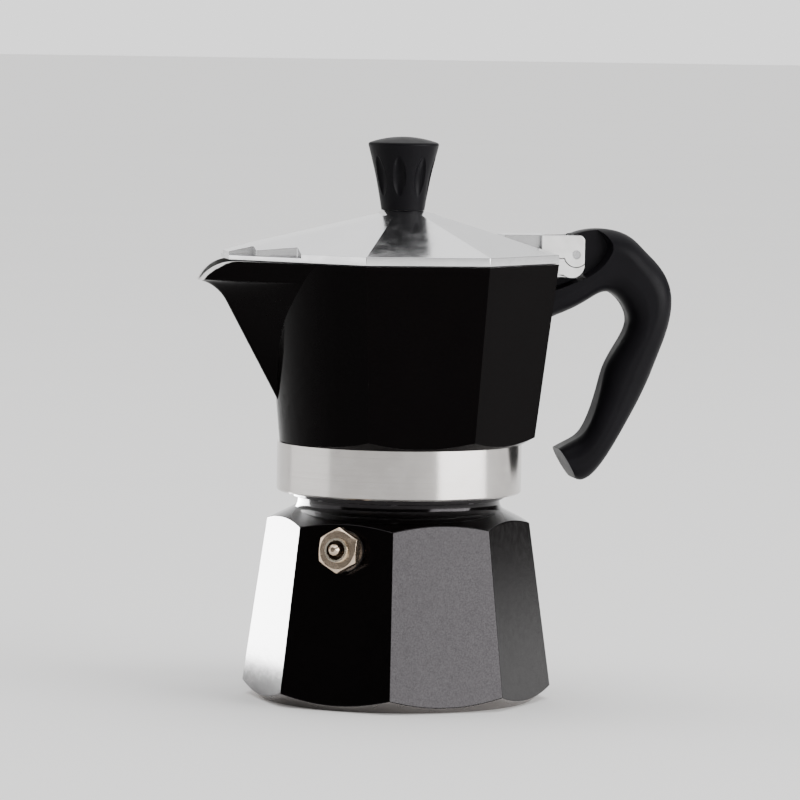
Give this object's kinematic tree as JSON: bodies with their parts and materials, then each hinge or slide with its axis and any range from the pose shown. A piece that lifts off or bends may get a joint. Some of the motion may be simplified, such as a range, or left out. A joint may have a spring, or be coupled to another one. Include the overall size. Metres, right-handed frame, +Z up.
{
  "type": "stovetop coffee pot",
  "caption": "Octagonal stovetop coffee pot: black boiler with safety valve, screwed-on jug with spout, hinged polished lid with knob, side handle, funnel and filter inside.",
  "frame": {"origin": "centre of the boiler's flat base, where it rests", "axes": "+Z up along the pot's axis, +X towards the handle, -X towards the spout"},
  "size_m": [0.1409, 0.089, 0.165],
  "materials": {
    "black_enamel": "gloss black enamel outside; bare turned band, rim and inside",
    "polished_aluminium": "polished",
    "cast_aluminium": "fine cast satin",
    "aluminium_sheet": "drawn sheet, satin",
    "valve_brass": "pale satin brass",
    "insert_brass": "turned",
    "spring_steel": "drawn wire",
    "pin_steel": "drawn, bright",
    "white_rubber": "matt off-white",
    "black_plastic": "satin black moulding"
  },
  "bodies": {
    "boiler": {"boiler": "black_enamel", "valve_washer": "valve_brass", "valve_body": "valve_brass", "valve_spring": "spring_steel", "valve_retainer": "valve_brass"},
    "valve_stem": {"valve_stem": "valve_brass"},
    "funnel": {"funnel_basket": "aluminium_sheet", "funnel_tube": "aluminium_sheet", "basket_strainer": "aluminium_sheet"},
    "filter_stack": {"gasket": "white_rubber", "filter_plate": "aluminium_sheet"},
    "collector": {"collector": "black_enamel", "coffee_column": "cast_aluminium", "handle": "black_plastic", "handle_pin": "pin_steel", "hinge_pin": "pin_steel"},
    "lid": {"lid": "polished_aluminium", "knob": "black_plastic", "knob_insert": "insert_brass", "knob_washer": "pin_steel", "knob_screw": "pin_steel"}
  },
  "joints": [
    {"name": "collector_lift", "type": "slide", "parent": "boiler", "child": "filter_stack", "axis": [0, 0, 1], "range_m": [0, 0.16]},
    {"name": "collector_turn", "type": "hinge", "parent": "filter_stack", "child": "collector", "pos_m": [0, 0, 0.065], "axis": [0, 0, 1], "range_deg": [0, 900]},
    {"name": "lid_open", "type": "hinge", "parent": "collector", "child": "lid", "pos_m": [0.0505, 0, 0.13105], "axis": [0, 1, 0], "range_deg": [0, 94]},
    {"name": "funnel_lift", "type": "slide", "parent": "boiler", "child": "funnel", "axis": [0, 0, 1], "range_m": [0, 0.072]},
    {"name": "valve_stem_travel", "type": "slide", "parent": "boiler", "child": "valve_stem", "axis": [-0.5659, -0.8142, 0.1298], "range_m": [0, 0.0015], "stiffness_N_per_m": 300, "springref_m": -0.003, "deforming": ["valve_spring"]}
  ],
  "couplings": [
    {"joint": "funnel_lift", "follows": "collector_lift", "ratio": 0.45}
  ]
}
